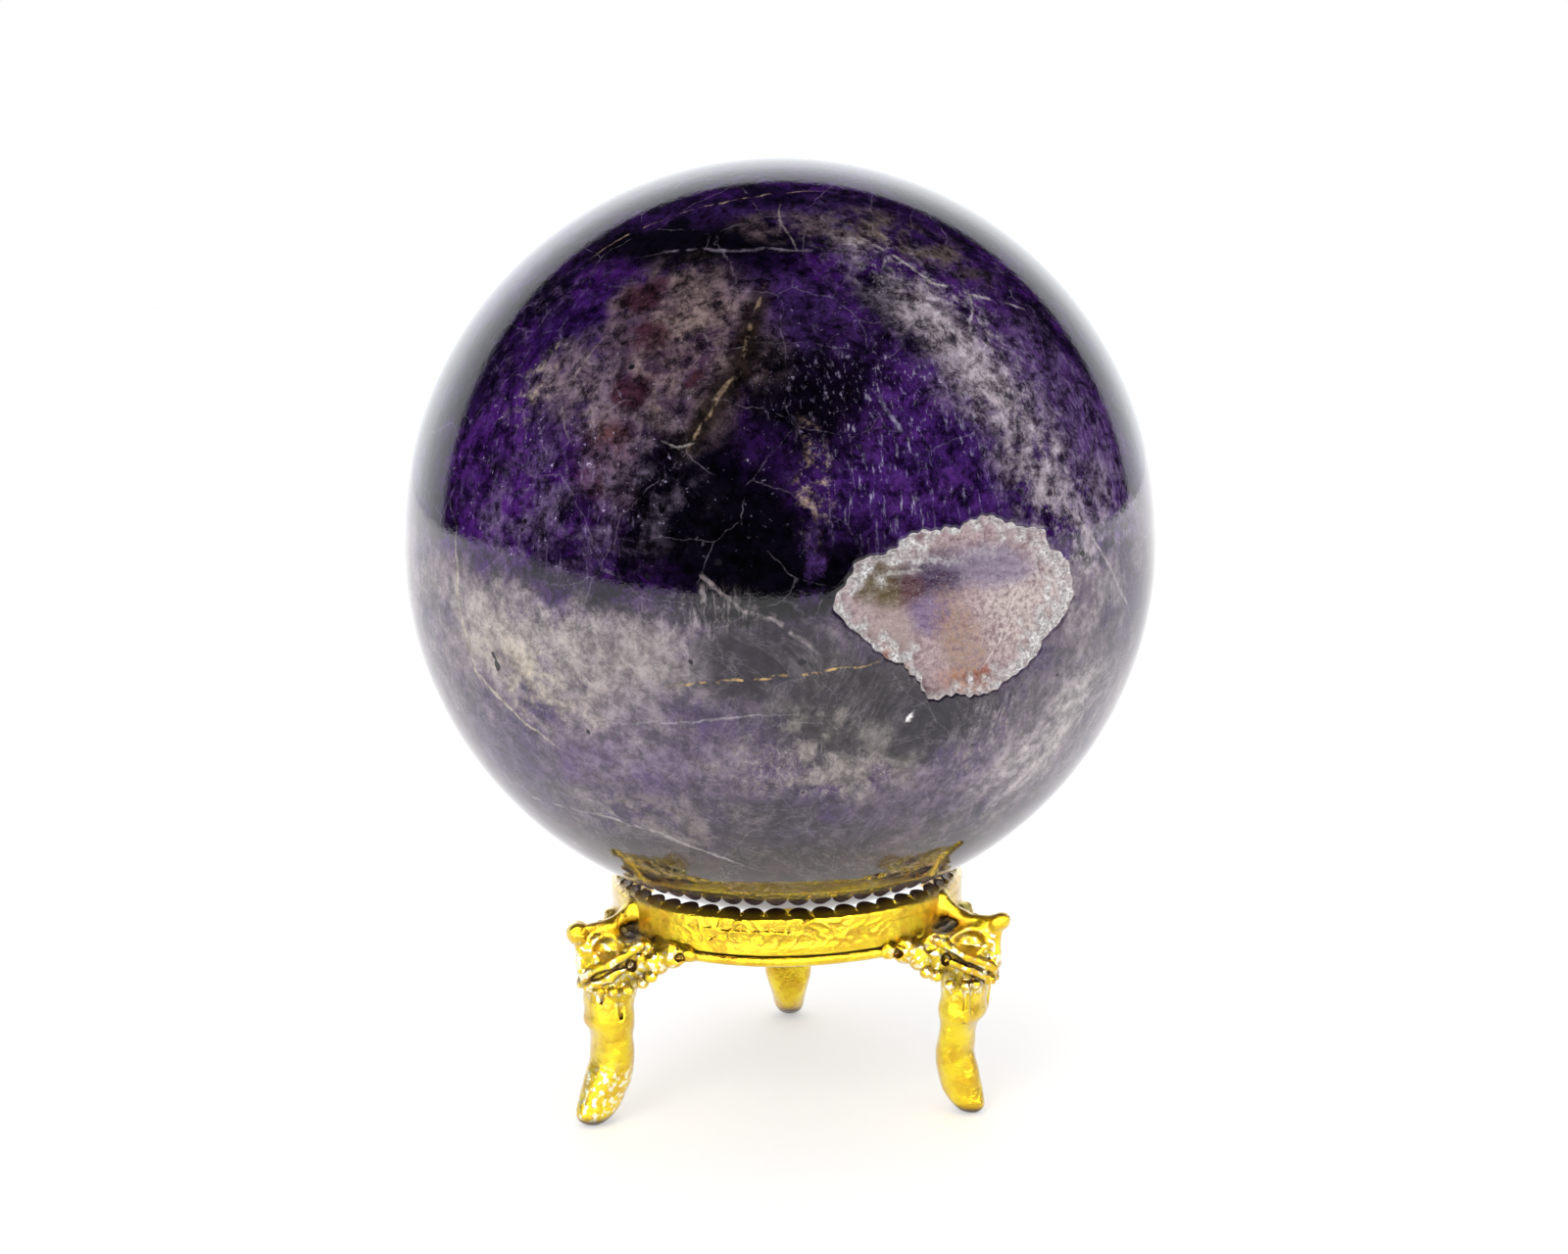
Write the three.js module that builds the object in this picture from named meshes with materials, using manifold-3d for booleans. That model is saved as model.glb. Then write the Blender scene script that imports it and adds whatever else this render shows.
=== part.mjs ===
// A polished chevron amethyst ball on a small gilded three-legged stand.
// Millimetres, +Z up. The origin is on the surface under the feet, on the ball's vertical axis.
// Azimuths are degrees anticlockwise from +X, seen from above, and the ball's druzy pocket faces -Y.

import * as THREE from "three";
import { mergeVertices } from "three/addons/utils/BufferGeometryUtils.js";
import Module from "manifold-3d";

const wasm = await Module();
wasm.setup();

// Driving dimensions
const BALL_RADIUS = 35;
const TOOTH_TIP_RADIUS = 15.2;
const TOOTH_TIP_HEIGHT = 21.7;
const COLLAR_OUTER_RADIUS = 16.8;
const COLLAR_INNER_RADIUS = 14.9;
const COLLAR_TOP = 19.8;
const COLLAR_BOTTOM = 17.8;
const COLLAR_FLARE = 0.1;
const BEAD_THICKNESS = 0.8;
const SEAT_THICKNESS = 1;
const TOOTH_COUNT = 48;
const TOOTH_LENGTH = 1;
const TOOTH_RISE = 0.5;
const LEG_AZIMUTHS = { front_left: 210, front_right: 330, rear: 90 };
const FIT_GAP = 0.3;

// The druzy pocket in the ball's front: its centre's direction, its depth and its crust's thickness
const POCKET_AZIMUTH = -64.2;
const POCKET_ELEVATION = -4;
const POCKET_DEPTH = 2.2;
const LINING_THICKNESS = 1.1;

// The pocket's mouth, anticlockwise from its right side: across and up from its centre
const POCKET_MOUTH = [
  [11.4, 0],
  [10.7, 3.4],
  [7.3, 6.1],
  [2.2, 7.3],
  [-4.9, 6.4],
  [-9.2, 4.6],
  [-11.4, 1.2],
  [-9.2, -1.7],
  [-5.3, -4.7],
  [-2.8, -7.3],
  [2.4, -7.3],
  [7.1, -4.9],
  [10.6, -1.8],
];

// The leg's elliptical sections from the sole up: height, reach from the axis, depth and width
const LEG_SECTIONS = [
  [0, 19.9, 2.6, 1.9],
  [0.4, 19.7, 3.6, 2.5],
  [1.7, 19.2, 4.1, 2.7],
  [3.4, 18.75, 4.2, 3.1],
  [5.6, 18.35, 3.8, 4.4],
  [7.8, 18.5, 3.6, 4.8],
  [10, 19, 3.9, 5.1],
  [12.2, 19, 4.8, 5.5],
  [14.6, 18.5, 5.6, 5.5],
  [16.1, 18.2, 4.8, 4.8],
];

// The spur that turns up and out of each knee leaf: height, reach, depth and width
const SPUR_SECTIONS = [
  [15, 20.3, 3.4, 4.8],
  [16.8, 20.9, 3, 3.8],
  [18.3, 21.7, 2.4, 2.8],
  [19.3, 22.3, 1.6, 1.8],
];

// A knee leaf's cap: its half-axes out, round and up, and its centre's reach and height
const CAP_HALF_AXES = [2.9, 3.7, 3.3];
const CAP_REACH = 19.4;
const CAP_HEIGHT = 15.9;

// Half of a knee leaf's wings along the collar: degrees from the leg, middle height, depth and tallness
const WING_SECTIONS = [
  [0, 16.4, 2.4, 4.4],
  [8, 16, 2.2, 4.2],
  [15, 16.2, 1.9, 3.3],
  [22, 16.6, 1.5, 2.2],
  [28, 17, 0.9, 1.2],
];

const LEG_SIDES = 12;
const LEAF_SIDES = 10;
const RING_STEPS = 64;
const BALL_STEPS_ROUND = 48;
const BALL_STEPS_UP = 32;
const POCKET_STEPS_ROUND = 26;
const POCKET_STEPS_UP = 10;

const BALL_CENTRE_HEIGHT = TOOTH_TIP_HEIGHT + Math.sqrt(BALL_RADIUS ** 2 - TOOTH_TIP_RADIUS ** 2);

const amethyst = new THREE.MeshStandardMaterial({ color: 0x5b3a7a, roughness: 0.12, metalness: 0 });
const druzyQuartz = new THREE.MeshStandardMaterial({ color: 0xcdb8c4, roughness: 0.55, metalness: 0 });
const gilding = new THREE.MeshStandardMaterial({ color: 0xf2c41c, roughness: 0.22, metalness: 1 });

// A closed three.js geometry as a solid that can be cut and joined
function solidFrom(geometry) {
  const bare = geometry.clone();
  bare.deleteAttribute("normal");
  bare.deleteAttribute("uv");
  const welded = mergeVertices(bare);
  const mesh = new wasm.Mesh({
    numProp: 3,
    vertProperties: new Float32Array(welded.attributes.position.array),
    triVerts: new Uint32Array(welded.index.array),
  });
  return new wasm.Manifold(mesh);
}

// The three.js geometry of a cut or joined solid
function geometryFrom(solid) {
  const mesh = solid.getMesh();
  const geometry = new THREE.BufferGeometry();
  geometry.setAttribute("position", new THREE.BufferAttribute(new Float32Array(mesh.vertProperties), 3));
  geometry.setIndex(new THREE.BufferAttribute(new Uint32Array(mesh.triVerts), 1));
  geometry.computeVertexNormals();
  return geometry;
}

function namedMesh(name, geometry, material) {
  const mesh = new THREE.Mesh(geometry, material.clone());
  mesh.name = name;
  return mesh;
}

// A closed limb through elliptical sections, each a centre and two half-axes in the section's plane
function loft(sections, sides) {
  const geometry = new THREE.CylinderGeometry(1, 1, 1, sides, sections.length - 1);
  const position = geometry.attributes.position;
  const point = new THREE.Vector3();
  for (let i = 0; i < position.count; i += 1) {
    point.fromBufferAttribute(position, i);
    const section = sections[Math.round((0.5 - point.y) * (sections.length - 1))];
    const placed = section.centre.clone();
    placed.addScaledVector(section.first, point.x);
    placed.addScaledVector(section.second, point.z);
    position.setXYZ(i, placed.x, placed.y, placed.z);
  }
  return geometry;
}

// A limb that climbs in the leg's own plane, with every section level, made fatter and taller by grow
function risingLimb(rows, sides, grow = 0) {
  const sections = rows.map(([height, reach, depth, width], i) => ({
    centre: new THREE.Vector3(reach, 0, i === rows.length - 1 ? height + grow : height),
    first: new THREE.Vector3(depth / 2 + grow, 0, 0),
    second: new THREE.Vector3(0, width / 2 + grow, 0),
  }));
  return loft(sections, sides);
}

// A ring turned from a closed profile of radius and height pairs
function turnedRing(profile) {
  const points = profile.map(([radius, height]) => new THREE.Vector2(radius, height));
  points.push(points[0].clone());
  return new THREE.LatheGeometry(points, RING_STEPS).rotateX(Math.PI / 2);
}

// A flattened blob that hugs the ball's surface over the pocket, smaller all round by inset
function pocketBlob(inset, depth) {
  const azimuth = THREE.MathUtils.degToRad(POCKET_AZIMUTH);
  const elevation = THREE.MathUtils.degToRad(POCKET_ELEVATION);
  const outward = new THREE.Vector3(
    Math.cos(azimuth) * Math.cos(elevation),
    Math.sin(azimuth) * Math.cos(elevation),
    Math.sin(elevation),
  );
  const sideways = new THREE.Vector3(-Math.sin(azimuth), Math.cos(azimuth), 0);
  const upward = outward.clone().cross(sideways);
  const corners = POCKET_MOUTH.map(([across, up]) => new THREE.Vector3(across, up, 0));
  const mouth = new THREE.CatmullRomCurve3(corners, true);
  const geometry = new THREE.SphereGeometry(1, POCKET_STEPS_ROUND, POCKET_STEPS_UP).rotateX(Math.PI / 2);
  const position = geometry.attributes.position;
  for (let i = 0; i < position.count; i += 1) {
    const turn = Math.atan2(position.getY(i), position.getX(i)) / (2 * Math.PI);
    const rim = mouth.getPoint((turn + 1) % 1);
    rim.setLength(rim.length() - inset);
    rim.multiplyScalar(Math.hypot(position.getX(i), position.getY(i)));
    const placed = outward.clone().multiplyScalar(BALL_RADIUS);
    placed.addScaledVector(sideways, rim.x);
    placed.addScaledVector(upward, rim.y);
    placed.setLength(BALL_RADIUS + position.getZ(i) * depth);
    position.setXYZ(i, placed.x, placed.y, placed.z);
  }
  return solidFrom(geometry);
}

function ballSphere(inset) {
  const sphere = new THREE.SphereGeometry(BALL_RADIUS - inset, BALL_STEPS_ROUND, BALL_STEPS_UP);
  return solidFrom(sphere.rotateX(Math.PI / 2));
}

function crystalBall() {
  const ball = ballSphere(0).subtract(pocketBlob(0, POCKET_DEPTH));
  return namedMesh("crystal_ball", geometryFrom(ball), amethyst);
}

// The crust of small quartz points that lines the pocket
function druzyLining() {
  const outside = pocketBlob(FIT_GAP, POCKET_DEPTH - FIT_GAP);
  const hollow = pocketBlob(FIT_GAP + LINING_THICKNESS, POCKET_DEPTH - FIT_GAP - LINING_THICKNESS);
  const lining = outside.intersect(ballSphere(FIT_GAP)).subtract(hollow);
  return namedMesh("druzy_lining", geometryFrom(lining), druzyQuartz);
}

function collarRing() {
  const profile = [
    [COLLAR_INNER_RADIUS, COLLAR_BOTTOM],
    [COLLAR_OUTER_RADIUS - COLLAR_FLARE, COLLAR_BOTTOM],
    [COLLAR_OUTER_RADIUS + COLLAR_FLARE, (COLLAR_BOTTOM + COLLAR_TOP) / 2],
    [COLLAR_OUTER_RADIUS, COLLAR_TOP],
    [COLLAR_INNER_RADIUS, COLLAR_TOP],
  ];
  return namedMesh("collar_ring", turnedRing(profile), gilding);
}

// The rounded moulding under the collar
function lowerBead() {
  const radius = COLLAR_OUTER_RADIUS - BEAD_THICKNESS / 2;
  const bead = new THREE.TorusGeometry(radius, BEAD_THICKNESS / 2, 8, RING_STEPS);
  bead.translate(0, 0, COLLAR_BOTTOM - FIT_GAP - BEAD_THICKNESS / 2);
  return namedMesh("lower_bead", bead, gilding);
}

// The ring of rounded teeth that point in and slightly up under the ball, which rests on their tips
function toothedSeat() {
  const outline = new THREE.Shape();
  outline.absarc(0, 0, COLLAR_OUTER_RADIUS, 0, 2 * Math.PI);
  const inside = new THREE.Path();
  const steps = TOOTH_COUNT * 4;
  for (let i = 0; i <= steps; i += 1) {
    const angle = (i / steps) * 2 * Math.PI;
    const radius = TOOTH_TIP_RADIUS + (TOOTH_LENGTH / 2) * (1 + Math.cos(TOOTH_COUNT * angle));
    const x = radius * Math.cos(angle);
    const y = radius * Math.sin(angle);
    if (i === 0) {
      inside.moveTo(x, y);
    } else {
      inside.lineTo(x, y);
    }
  }
  outline.holes.push(inside);
  const seat = new THREE.ExtrudeGeometry(outline, {
    depth: SEAT_THICKNESS,
    bevelEnabled: false,
    curveSegments: RING_STEPS,
  });
  const position = seat.attributes.position;
  const slope = TOOTH_RISE / (COLLAR_OUTER_RADIUS - TOOTH_TIP_RADIUS);
  const tipBottom = TOOTH_TIP_HEIGHT - FIT_GAP - SEAT_THICKNESS;
  for (let i = 0; i < position.count; i += 1) {
    const radius = Math.hypot(position.getX(i), position.getY(i));
    position.setZ(i, position.getZ(i) + tipBottom - slope * (radius - TOOTH_TIP_RADIUS));
  }
  return namedMesh("toothed_seat", seat, gilding);
}

function leg(place, azimuth) {
  const limb = risingLimb(LEG_SECTIONS, LEG_SIDES);
  limb.rotateZ(THREE.MathUtils.degToRad(azimuth));
  return namedMesh(`leg_${place}`, limb, gilding);
}

// One half of the leaf's wings, which run both ways round the collar's lower edge
function wing(side) {
  const sections = WING_SECTIONS.map(([degrees, height, depth, tall]) => {
    const angle = THREE.MathUtils.degToRad(side * degrees);
    const outward = new THREE.Vector3(Math.cos(angle), Math.sin(angle), 0);
    const reach = COLLAR_OUTER_RADIUS + COLLAR_FLARE + FIT_GAP + 0.4 * depth;
    return {
      centre: outward.clone().multiplyScalar(reach).setZ(height),
      first: outward.clone().multiplyScalar(depth / 2),
      second: new THREE.Vector3(0, 0, (-side * tall) / 2),
    };
  });
  return solidFrom(loft(sections, LEAF_SIDES));
}

// The space that the collar and its bead need, with the fit gap round it
function collarSpace() {
  const radius = COLLAR_OUTER_RADIUS + COLLAR_FLARE + FIT_GAP;
  const bottom = COLLAR_BOTTOM - BEAD_THICKNESS - 2 * FIT_GAP;
  const height = COLLAR_TOP - bottom;
  const space = new THREE.CylinderGeometry(radius, radius, height, RING_STEPS).rotateX(Math.PI / 2);
  return solidFrom(space.translate(0, 0, bottom + height / 2));
}

// The shell-like leaf draped over the knee: a cap, an upturned spur and two wings, clear of what it covers
function kneeLeaf(place, azimuth) {
  const cap = new THREE.SphereGeometry(1, 16, 12);
  cap.scale(...CAP_HALF_AXES).translate(CAP_REACH, 0, CAP_HEIGHT);
  const grownLeg = solidFrom(risingLimb(LEG_SECTIONS, LEG_SIDES, FIT_GAP));
  const leaf = solidFrom(cap)
    .add(solidFrom(risingLimb(SPUR_SECTIONS, LEAF_SIDES)))
    .add(wing(1))
    .add(wing(-1))
    .subtract(grownLeg)
    .subtract(collarSpace());
  const geometry = geometryFrom(leaf);
  geometry.rotateZ(THREE.MathUtils.degToRad(azimuth));
  return namedMesh(`knee_leaf_${place}`, geometry, gilding);
}

const ball = new THREE.Group();
ball.position.set(0, 0, BALL_CENTRE_HEIGHT);
ball.add(crystalBall(), druzyLining());

const stand = new THREE.Group();
stand.add(collarRing(), lowerBead(), toothedSeat());
for (const [place, azimuth] of Object.entries(LEG_AZIMUTHS)) {
  stand.add(leg(place, azimuth), kneeLeaf(place, azimuth));
}

const crystalBallOnStand = new THREE.Group();
crystalBallOnStand.add(stand, ball);

export default crystalBallOnStand;
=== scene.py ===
"""A polished chevron amethyst ball on a small gilded three-legged stand.

Shapes are worked out in millimetres in the CAD's own frame and become metres as each mesh is made.
"""
import math

import bmesh
import bpy
import numpy as np
from mathutils import Matrix, Vector


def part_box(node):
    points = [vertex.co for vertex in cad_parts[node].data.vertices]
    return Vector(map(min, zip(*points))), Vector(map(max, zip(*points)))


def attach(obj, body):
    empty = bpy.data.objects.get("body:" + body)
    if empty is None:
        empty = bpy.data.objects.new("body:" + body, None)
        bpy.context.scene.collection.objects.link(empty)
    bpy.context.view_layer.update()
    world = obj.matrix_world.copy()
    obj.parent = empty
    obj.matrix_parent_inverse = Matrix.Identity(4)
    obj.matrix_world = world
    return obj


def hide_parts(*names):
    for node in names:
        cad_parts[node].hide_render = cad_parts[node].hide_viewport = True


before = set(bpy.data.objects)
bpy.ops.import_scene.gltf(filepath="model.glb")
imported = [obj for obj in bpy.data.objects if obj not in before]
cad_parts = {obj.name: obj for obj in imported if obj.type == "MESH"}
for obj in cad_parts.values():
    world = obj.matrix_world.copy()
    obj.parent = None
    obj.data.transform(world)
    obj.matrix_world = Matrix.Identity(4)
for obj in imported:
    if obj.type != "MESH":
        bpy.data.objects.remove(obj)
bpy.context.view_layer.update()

MM = 0.001


# ---- Driving places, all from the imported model, in millimetres ----
def node_box(name):
    low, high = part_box(name)
    return np.array(low) / MM, np.array(high) / MM


ball_low, ball_high = node_box("crystal_ball")
_, seat_high = node_box("toothed_seat")
bead_low, _ = node_box("lower_bead")
collar_low, collar_high = node_box("collar_ring")
BALL_RADIUS = (ball_high[0] - ball_low[0]) / 2
BALL_Z = (ball_high[2] + ball_low[2]) / 2
TIP_RADIUS = 15.2
TIP_Z = BALL_Z - math.sqrt(BALL_RADIUS**2 - TIP_RADIUS**2)
WALL_RADIUS = seat_high[0] - 0.05
RING_BOTTOM = bead_low[2]
COLLAR_BOTTOM = collar_low[2] - 0.25
COLLAR_TOP = collar_high[2] + 0.05
LEG_AZIMUTHS = {"front_left": 210.0, "front_right": 330.0, "rear": 90.0}
TOOTH_COUNT = 48


# ---- Meshes ----
def make_object(name, points_mm, faces, material):
    """A smooth-shaded mesh object from points in millimetres and an array of faces."""
    mesh = bpy.data.meshes.new(name)
    faces = np.asarray(faces, dtype=np.int32)
    count, corners = faces.shape
    mesh.vertices.add(len(points_mm))
    mesh.vertices.foreach_set("co", (np.asarray(points_mm, dtype=np.float64) * MM).ravel())
    mesh.loops.add(count * corners)
    mesh.loops.foreach_set("vertex_index", faces.ravel())
    mesh.polygons.add(count)
    mesh.polygons.foreach_set("loop_start", np.arange(count, dtype=np.int32) * corners)
    mesh.polygons.foreach_set("use_smooth", np.ones(count, dtype=bool))
    mesh.update(calc_edges=True)
    mesh.validate()
    mesh.materials.append(material)
    made = bpy.data.objects.new(name, mesh)
    bpy.context.scene.collection.objects.link(made)
    return made


def closed_curve(controls, pieces):
    """Points along a smooth closed curve; controls has shape (..., controls, 2)."""
    before = np.roll(controls, 1, axis=-2)
    after = np.roll(controls, -1, axis=-2)
    beyond = np.roll(controls, -2, axis=-2)
    parts = []
    for t in np.arange(pieces) / pieces:
        parts.append(
            0.5
            * (
                2 * controls
                + (after - before) * t
                + (2 * before - 5 * controls + 4 * after - beyond) * t**2
                + (3 * controls - before - 3 * after + beyond) * t**3
            )
        )
    stacked = np.stack(parts, axis=-2)
    return stacked.reshape(*controls.shape[:-2], -1, 2)


def turned(name, profiles, angles, material):
    """A closed ring from one radius-and-height profile at each angle."""
    steps, rows = profiles.shape[:2]
    radius, height = profiles[..., 0], profiles[..., 1]
    points = np.stack([radius * np.cos(angles)[:, None], radius * np.sin(angles)[:, None], height], -1)
    here = np.arange(steps * rows).reshape(steps, rows)
    ahead = np.roll(here, -1, axis=0)
    up, ahead_up = np.roll(here, -1, axis=1), np.roll(ahead, -1, axis=1)
    faces = np.stack([here, ahead, ahead_up, up], -1).reshape(-1, 4)
    return make_object(name, points.reshape(-1, 3), faces, material)


def surface_net(field, low, step):
    """The surface where a field crosses zero, as points and quads that face the positive side."""
    inside = field < 0
    shape = [n - 1 for n in field.shape]
    corners = np.zeros(shape, dtype=np.uint8)
    for dx in (0, 1):
        for dy in (0, 1):
            for dz in (0, 1):
                corners += inside[dx : dx + shape[0], dy : dy + shape[1], dz : dz + shape[2]]
    active = (corners > 0) & (corners < 8)
    cells = np.argwhere(active)
    index = np.full(shape, -1, dtype=np.int32)
    index[active] = np.arange(len(cells))
    total = np.zeros((len(cells), 3))
    crossings = np.zeros(len(cells))
    for axis in range(3):
        along = np.eye(3, dtype=int)[axis]
        sides = [a for a in range(3) if a != axis]
        for corner in ((0, 0), (0, 1), (1, 0), (1, 1)):
            offset = np.zeros(3, dtype=int)
            offset[sides] = corner
            start = cells + offset
            first = field[tuple(start.T)]
            second = field[tuple((start + along).T)]
            crossed = (first < 0) != (second < 0)
            part = first[crossed] / (first[crossed] - second[crossed])
            total[crossed] += start[crossed] + part[:, None] * along
            crossings[crossed] += 1
    points = np.asarray(low) + step * total / crossings[:, None]
    quads = []
    for axis in range(3):
        starts = [slice(1, -1)] * 3
        ends = [slice(1, -1)] * 3
        starts[axis], ends[axis] = slice(0, -1), slice(1, None)
        first, second = inside[tuple(starts)], inside[tuple(ends)]
        lift = np.ones(3, dtype=int)
        lift[axis] = 0
        side_u, side_v = np.eye(3, dtype=int)[(axis + 1) % 3], np.eye(3, dtype=int)[(axis + 2) % 3]
        for edges, order in ((first & ~second, (0, 1, 2, 3)), (~first & second, (3, 2, 1, 0))):
            cell = np.argwhere(edges) + lift
            around = (cell - side_u - side_v, cell - side_v, cell, cell - side_u)
            quads.append(np.stack([index[tuple(around[i].T)] for i in order], -1))
    return points, np.concatenate(quads)


# ---- Clay: a distance field that shapes are pressed into and carved out of ----
def blended_minimum(a, b, width):
    share = np.clip(0.5 + 0.5 * (b - a) / width, 0, 1)
    return b * (1 - share) + a * share - width * share * (1 - share)


def rod(start, end, radius, end_radius=None):
    """A round-ended rod; returns its distance function and its box."""
    start, end = np.array(start, float), np.array(end, float)
    end_radius = radius if end_radius is None else end_radius
    span = end - start
    widest = max(radius, end_radius)

    def distance(x, y, z):
        px, py, pz = x - start[0], y - start[1], z - start[2]
        along = np.clip((px * span[0] + py * span[1] + pz * span[2]) / (span @ span), 0, 1)
        gap = np.sqrt((px - along * span[0]) ** 2 + (py - along * span[1]) ** 2 + (pz - along * span[2]) ** 2)
        return gap - (radius + along * (end_radius - radius))

    return distance, np.minimum(start, end) - widest, np.maximum(start, end) + widest


def blob(centre, radii, yaw=0.0, tilt=0.0):
    """An ellipsoid, turned about Z by yaw after it is tilted about Y, in degrees."""
    turn = (Matrix.Rotation(math.radians(yaw), 3, "Z") @ Matrix.Rotation(math.radians(tilt), 3, "Y")).transposed()
    turn = np.array(turn)
    radii = np.array(radii, float)

    def distance(x, y, z):
        px, py, pz = x - centre[0], y - centre[1], z - centre[2]
        local = [row[0] * px + row[1] * py + row[2] * pz for row in turn]
        scaled = np.sqrt(sum((c / r) ** 2 for c, r in zip(local, radii)))
        slope = np.sqrt(sum((c / r**2) ** 2 for c, r in zip(local, radii)))
        return scaled * (scaled - 1) / np.maximum(slope, 1e-6)

    reach = radii.max()
    return distance, np.array(centre) - reach, np.array(centre) + reach


def side_rod(side, start, end, radius, end_radius=None):
    """A rod on one side of the leg's plane, +1 or -1; its places are given for +1."""
    return rod((start[0], side * start[1], start[2]), (end[0], side * end[1], end[2]), radius, end_radius)


def side_blob(side, centre, radii, yaw=0.0, tilt=0.0):
    return blob((centre[0], side * centre[1], centre[2]), radii, side * yaw, tilt)


class Clay:
    def __init__(self, low, high, step):
        self.low, self.step = low, step
        self.axes = [np.arange(a, b, step) for a, b in zip(low, high)]
        self.field = np.full([len(a) for a in self.axes], 9.0, dtype=np.float32)

    def grid(self, slices=(slice(None),) * 3):
        x, y, z = (axis[part].astype(np.float32) for axis, part in zip(self.axes, slices))
        return x[:, None, None], y[None, :, None], z[None, None, :]

    def press(self, shape, blend=0.3, carve=False):
        distance, low, high = shape
        margin = 2 * blend + 3 * self.step
        slices = tuple(
            slice(*np.searchsorted(axis, (a - margin, b + margin)))
            for axis, a, b in zip(self.axes, low, high)
        )
        there = self.field[slices]
        if there.size == 0:
            return
        new = distance(*self.grid(slices))
        if carve:
            self.field[slices] = -blended_minimum(-there, new, blend)
        else:
            self.field[slices] = blended_minimum(there, new, blend)

    def mirrored(self, make, *args, blend=0.3, carve=False):
        """Presses a shape and its mirror image across the leg's plane; make takes the side, +1 or -1."""
        for side in (1, -1):
            self.press(make(side, *args), blend, carve)

    def noise(self, spacing, seed):
        """Smooth random values all over the grid, with bumps about spacing apart."""
        random = np.random.default_rng(seed)
        weights = []
        for axis in self.axes:
            place = (axis - axis[0]) / spacing
            base = np.floor(place).astype(int)
            t = place - base
            table = np.zeros((len(axis), base[-1] + 4))
            rows = np.arange(len(axis))
            table[rows, base] = (1 - t) ** 3 / 6
            table[rows, base + 1] = (3 * t**3 - 6 * t**2 + 4) / 6
            table[rows, base + 2] = (-3 * t**3 + 3 * t**2 + 3 * t + 1) / 6
            table[rows, base + 3] = t**3 / 6
            weights.append(table)
        values = random.standard_normal([w.shape[1] for w in weights])
        for table in weights:
            values = np.tensordot(values, table, axes=([0], [1]))
        return (2.2 * values).astype(np.float32)


# ---- Legs with their shell-like knee leaves; x runs out from the axis, y round it, z up ----
# height, reach, depth and width of the limb
LEG_ROWS = np.array([
    [0, 20.15, 1.4, 1.3],
    [0.35, 20.05, 2.7, 2.3],
    [1.0, 19.75, 3.6, 2.8],
    [2.0, 19.25, 4.1, 3.2],
    [3.2, 18.85, 4.2, 3.7],
    [4.5, 18.55, 3.9, 4.4],
    [5.8, 18.35, 3.5, 4.8],
    [7.8, 18.45, 3.3, 4.9],
    [9.8, 18.8, 3.6, 5.1],
    [11.6, 19.0, 4.3, 5.4],
    [14.6, 18.6, 5, 5.6],
    [17.4, 18.0, 4, 5.4],
])
CLAY_LOW, CLAY_HIGH, CLAY_STEP = (13.9, -10.2, -0.45), (24.6, 10.2, 21.3), 0.12
FLANK_WIDTH = 7.6
# how far each foot leans out, and how stout each limb is
FOOT_LEAN = {"front_left": 1.25, "front_right": -0.85, "rear": 0.0}
GIRTH = {"front_left": 1.07, "front_right": 0.95, "rear": 1.0}


def limb(lean, girth):
    """The leg's own body, from its sole up into the ring."""
    heights = np.linspace(-1, 18, 381)
    smoothing = np.hanning(27) / np.hanning(27).sum()
    columns = []
    for column in LEG_ROWS[:, 1:].T:
        values = np.interp(heights, LEG_ROWS[:, 0], column)
        columns.append(np.convolve(np.pad(values, 13, mode="edge"), smoothing, "valid"))

    def distance(x, y, z):
        flat = z.ravel()
        reach, depth, width = (np.interp(flat, heights, c)[None, None, :] for c in columns)
        reach = reach + lean * (1 - np.clip((flat - 2) / 12, 0, 1))
        px = x - reach
        ratio = np.sqrt((2 * px / depth) ** 2 + (2 * y / width) ** 2) / girth + 1e-6
        across = np.sqrt(px**2 + y**2) / ratio
        shell = (ratio - 1) * np.maximum(across, 0.5)
        sole = -z + 0 * shell
        top = z - 17.2 + 0 * shell
        return -blended_minimum(-np.maximum(shell, top), -sole, 0.5)

    return distance, np.array([15, -4, -0.2]), np.array([24, 4, 17.6])


def collar_flank(x, y, z):
    """A stretch of the collar's wall, a little inside its real face, for the leaf to flow out of."""
    radius = np.sqrt(x**2 + y**2)
    round_it = np.abs(y) - FLANK_WIDTH
    return np.maximum(np.maximum(radius - (WALL_RADIUS - 0.3), np.abs(z - 18.9) - 1.75), round_it) + 0 * z


def on_wall(degrees, radius, height):
    """A point at an angle from the leg, round the collar."""
    angle = math.radians(degrees)
    return (radius * math.cos(angle), radius * math.sin(angle), height)


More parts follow.
